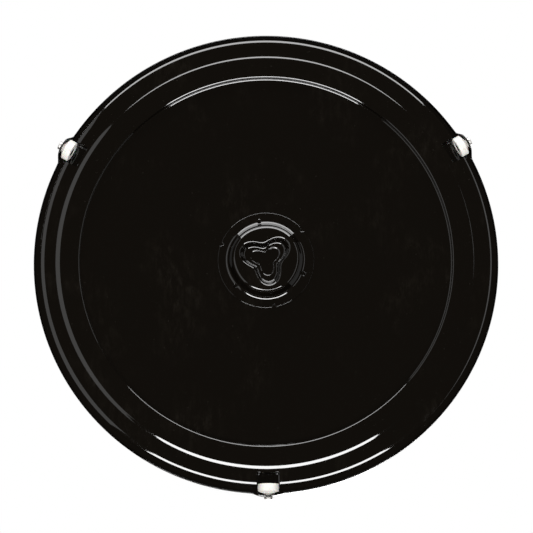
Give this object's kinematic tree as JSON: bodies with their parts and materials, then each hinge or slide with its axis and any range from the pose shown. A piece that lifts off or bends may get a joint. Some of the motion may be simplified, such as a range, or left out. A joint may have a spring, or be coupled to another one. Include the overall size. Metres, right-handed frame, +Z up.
{
  "type": "oven turntable tray with roller wheels",
  "caption": "Round enamelled steel oven turntable with a three-lobed drive socket under its centre and small rollers in its rim.",
  "frame": {"origin": "on the oven floor under the drive hub, on the turntable's vertical axis", "axes": "+Z up with the food side on top, the rollers standing on z = 0; one roller points along -Y, the other two lie at 30 and 150 degrees from +X"},
  "size_m": [0.39, 0.3953, 0.0199],
  "materials": {
    "enamel": "glossy black vitreous enamel on pressed steel, with crisp highlights on its bends",
    "roller": null,
    "washer": "pale low-friction plastic, satin",
    "pin": null,
    "nut": "pressed stainless steel, satin"
  },
  "bodies": {
    "tray": {"turntable_pan": "enamel", "drive_hub": "enamel", "axle_pin_1": "pin", "axle_pin_2": "pin", "axle_pin_3": "pin", "slip_washer_1": "washer", "slip_washer_2": "washer", "slip_washer_3": "washer", "push_nut_1": "nut", "push_nut_2": "nut", "push_nut_3": "nut"},
    "roller_1_body": {"roller_1": "roller"},
    "roller_2_body": {"roller_2": "roller"},
    "roller_3_body": {"roller_3": "roller"}
  },
  "joints": [
    {"name": "roller_1_spin", "type": "hinge", "parent": "tray", "child": "roller_1_body", "pos_m": [0.16481, 0.09515, 0.0087], "axis": [0.866, 0.5, 0], "continuous": true},
    {"name": "roller_2_spin", "type": "hinge", "parent": "tray", "child": "roller_2_body", "pos_m": [-0.16481, 0.09515, 0.0087], "axis": [-0.866, 0.5, 0], "continuous": true},
    {"name": "roller_3_spin", "type": "hinge", "parent": "tray", "child": "roller_3_body", "pos_m": [0, -0.1903, 0.0087], "axis": [0, -1, 0], "continuous": true}
  ]
}
